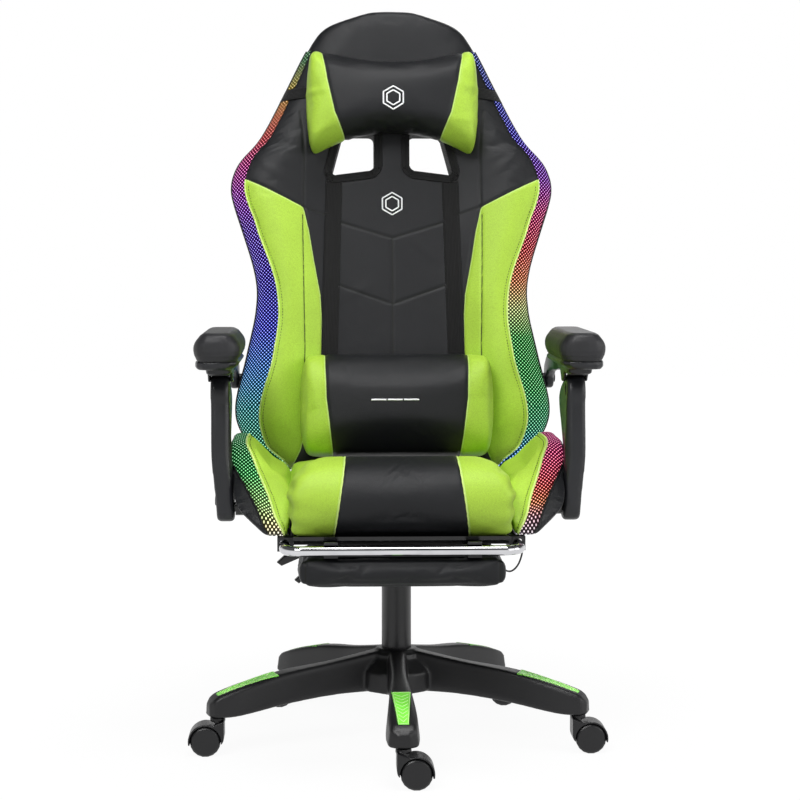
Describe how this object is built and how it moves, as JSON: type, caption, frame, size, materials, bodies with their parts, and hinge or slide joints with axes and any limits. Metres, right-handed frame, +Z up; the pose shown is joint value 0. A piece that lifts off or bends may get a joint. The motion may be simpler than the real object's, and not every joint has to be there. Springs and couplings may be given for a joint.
{
  "type": "gaming chair",
  "caption": "Swivelling gaming chair with a bucket seat, reclining winged back, linked armrests, pull-out footrest, pillows and light bands along the side bolsters.",
  "frame": {"origin": "on the floor, on the centre line of the column", "axes": "+Z up, the sitter faces -Y, +X to the sitter's left"},
  "size_m": [0.6968, 0.6721, 1.2679],
  "materials": {
    "base_plastic": "satin moulded black nylon",
    "base_inlay": "gloss light green",
    "caster_plastic": "satin black",
    "black_steel": "satin black powder coat",
    "bright_rod": "ground steel",
    "trim_plastic": "satin black",
    "black_leather": "soft faux leather, fine grain",
    "green_leather": "soft faux leather, fine grain",
    "arm_cover": "soft moulded polyurethane",
    "light_mesh": "black net over coloured lights",
    "webbing": "woven black webbing",
    "chrome_tube": "polished chrome",
    "lead_jacket": "matt black"
  },
  "bodies": {
    "base": {"star_base": "base_plastic", "leg_insert_1": "base_inlay", "leg_insert_2": "base_inlay", "leg_insert_3": "base_inlay", "leg_insert_4": "base_inlay", "leg_insert_5": "base_inlay", "stand_tube": "black_steel"},
    "caster_1": {"caster_housing_1": "caster_plastic"},
    "wheels_1": {"caster_wheels_1": "caster_plastic"},
    "caster_2": {"caster_housing_2": "caster_plastic"},
    "wheels_2": {"caster_wheels_2": "caster_plastic"},
    "caster_3": {"caster_housing_3": "caster_plastic"},
    "wheels_3": {"caster_wheels_3": "caster_plastic"},
    "caster_4": {"caster_housing_4": "caster_plastic"},
    "wheels_4": {"caster_wheels_4": "caster_plastic"},
    "caster_5": {"caster_housing_5": "caster_plastic"},
    "wheels_5": {"caster_wheels_5": "caster_plastic"},
    "piston": {"piston_rod": "bright_rod"},
    "column": {"gas_cylinder": "black_steel", "mechanism_housing": "black_steel"},
    "tension_knob": {"tension_knob": "trim_plastic"},
    "height_lever": {"height_lever": "black_steel"},
    "tilt_lever": {"tilt_lever": "black_steel"},
    "seat": {"seat_plate": "black_steel", "seat_frame": "black_steel", "seat_cushion": "black_leather", "seat_side_left": "green_leather", "seat_side_right": "green_leather", "seat_light_band_left": "light_mesh", "seat_light_band_right": "light_mesh", "seat_hinge_plate_left": "black_steel", "seat_hinge_plate_right": "black_steel", "hinge_cover_left": "trim_plastic", "hinge_cover_right": "trim_plastic", "footrest_guide_left": "black_steel", "footrest_guide_right": "black_steel", "light_control_box": "trim_plastic", "light_lead": "lead_jacket"},
    "back": {"back_frame": "black_steel", "back_cushion": "black_leather", "back_light_band_left": "light_mesh", "back_light_band_right": "light_mesh", "harness_trim_left": "webbing", "harness_trim_right": "webbing", "pillow_strap": "webbing", "lumbar_belt_left": "webbing", "lumbar_belt_right": "webbing", "head_pillow": "black_leather", "lumbar_pillow": "black_leather"},
    "recline_lever": {"recline_lever": "black_steel"},
    "arm_post_left": {"arm_post_left": "trim_plastic"},
    "arm_post_right": {"arm_post_right": "trim_plastic"},
    "arm_pad_left": {"arm_pad_frame_left": "trim_plastic", "arm_pad_left": "arm_cover"},
    "arm_pad_right": {"arm_pad_frame_right": "trim_plastic", "arm_pad_right": "arm_cover"},
    "footrest_frame": {"footrest_frame": "chrome_tube"},
    "footrest_board": {"footrest_pad": "black_leather", "footrest_hinge": "trim_plastic"}
  },
  "joints": [
    {"name": "caster_swivel_1", "type": "hinge", "parent": "base", "child": "caster_1", "pos_m": [0, -0.315, 0.065], "axis": [0, 0, 1], "continuous": true},
    {"name": "wheel_spin_1", "type": "hinge", "parent": "caster_1", "child": "wheels_1", "pos_m": [0.02, -0.315, 0.025], "axis": [0, 1, 0], "continuous": true},
    {"name": "caster_swivel_2", "type": "hinge", "parent": "base", "child": "caster_2", "pos_m": [0.29958, -0.09734, 0.065], "axis": [0, 0, 1], "continuous": true},
    {"name": "wheel_spin_2", "type": "hinge", "parent": "caster_2", "child": "wheels_2", "pos_m": [0.31958, -0.09734, 0.025], "axis": [0, 1, 0], "continuous": true},
    {"name": "caster_swivel_3", "type": "hinge", "parent": "base", "child": "caster_3", "pos_m": [0.18515, 0.25484, 0.065], "axis": [0, 0, 1], "continuous": true},
    {"name": "wheel_spin_3", "type": "hinge", "parent": "caster_3", "child": "wheels_3", "pos_m": [0.20515, 0.25484, 0.025], "axis": [0, 1, 0], "continuous": true},
    {"name": "caster_swivel_4", "type": "hinge", "parent": "base", "child": "caster_4", "pos_m": [-0.18515, 0.25484, 0.065], "axis": [0, 0, 1], "continuous": true},
    {"name": "wheel_spin_4", "type": "hinge", "parent": "caster_4", "child": "wheels_4", "pos_m": [-0.20515, 0.25484, 0.025], "axis": [0, 1, 0], "continuous": true},
    {"name": "caster_swivel_5", "type": "hinge", "parent": "base", "child": "caster_5", "pos_m": [-0.29958, -0.09734, 0.065], "axis": [0, 0, 1], "continuous": true},
    {"name": "wheel_spin_5", "type": "hinge", "parent": "caster_5", "child": "wheels_5", "pos_m": [-0.31958, -0.09734, 0.025], "axis": [0, 1, 0], "continuous": true},
    {"name": "seat_swivel", "type": "hinge", "parent": "base", "child": "piston", "pos_m": [0, 0, 0.11], "axis": [0, 0, 1], "continuous": true},
    {"name": "gas_lift", "type": "slide", "parent": "piston", "child": "column", "axis": [0, 0, 1], "range_m": [0, 0.08]},
    {"name": "tension_knob_turn", "type": "hinge", "parent": "column", "child": "tension_knob", "pos_m": [0, -0.062, 0.3], "axis": [0, 0, 1], "continuous": true},
    {"name": "height_lever_lift", "type": "hinge", "parent": "column", "child": "height_lever", "pos_m": [-0.046, 0.006, 0.34], "axis": [0, 1, 0], "range_deg": [0, 8], "stiffness_Nm_per_rad": 20, "springref_deg": -5.73},
    {"name": "tilt_lever_lift", "type": "hinge", "parent": "column", "child": "tilt_lever", "pos_m": [-0.046, 0.044, 0.331], "axis": [0, 1, 0], "range_deg": [0, 6], "stiffness_Nm_per_rad": 20, "springref_deg": -5.73},
    {"name": "seat_tilt", "type": "hinge", "parent": "column", "child": "seat", "pos_m": [0, -0.055, 0.345], "axis": [-1, 0, 0], "range_deg": [0, 12], "stiffness_Nm_per_rad": 900, "springref_deg": -6.88},
    {"name": "back_recline", "type": "hinge", "parent": "seat", "child": "back", "pos_m": [0, 0.18, 0.415], "axis": [-1, 0, 0], "range_deg": [0, 45]},
    {"name": "recline_lever_lift", "type": "hinge", "parent": "seat", "child": "recline_lever", "pos_m": [-0.27, 0.18, 0.415], "axis": [-1, 0, 0], "range_deg": [0, 25], "stiffness_Nm_per_rad": 3, "springref_deg": -11.46},
    {"name": "arm_post_swing_left", "type": "hinge", "parent": "seat", "child": "arm_post_left", "pos_m": [0.29, -0.11, 0.415], "axis": [-1, 0, 0], "range_deg": [0, 45]},
    {"name": "arm_pad_swing_left", "type": "hinge", "parent": "arm_post_left", "child": "arm_pad_left", "pos_m": [0.29, -0.08162, 0.60489], "axis": [-1, 0, 0], "range_deg": [-45, 0]},
    {"name": "arm_post_swing_right", "type": "hinge", "parent": "seat", "child": "arm_post_right", "pos_m": [-0.29, -0.11, 0.415], "axis": [-1, 0, 0], "range_deg": [0, 45]},
    {"name": "arm_pad_swing_right", "type": "hinge", "parent": "arm_post_right", "child": "arm_pad_right", "pos_m": [-0.29, -0.08162, 0.60489], "axis": [-1, 0, 0], "range_deg": [-45, 0]},
    {"name": "footrest_slide", "type": "slide", "parent": "seat", "child": "footrest_frame", "axis": [0, -1, 0], "range_m": [0, 0.26]},
    {"name": "footrest_flip", "type": "hinge", "parent": "footrest_frame", "child": "footrest_board", "pos_m": [0, -0.29, 0.371], "axis": [-1, 0, 0], "range_deg": [0, 180]}
  ],
  "couplings": [
    {"joint": "arm_post_swing_left", "follows": "back_recline", "ratio": 1},
    {"joint": "arm_pad_swing_left", "follows": "back_recline", "ratio": -1},
    {"joint": "arm_post_swing_right", "follows": "back_recline", "ratio": 1},
    {"joint": "arm_pad_swing_right", "follows": "back_recline", "ratio": -1}
  ]
}
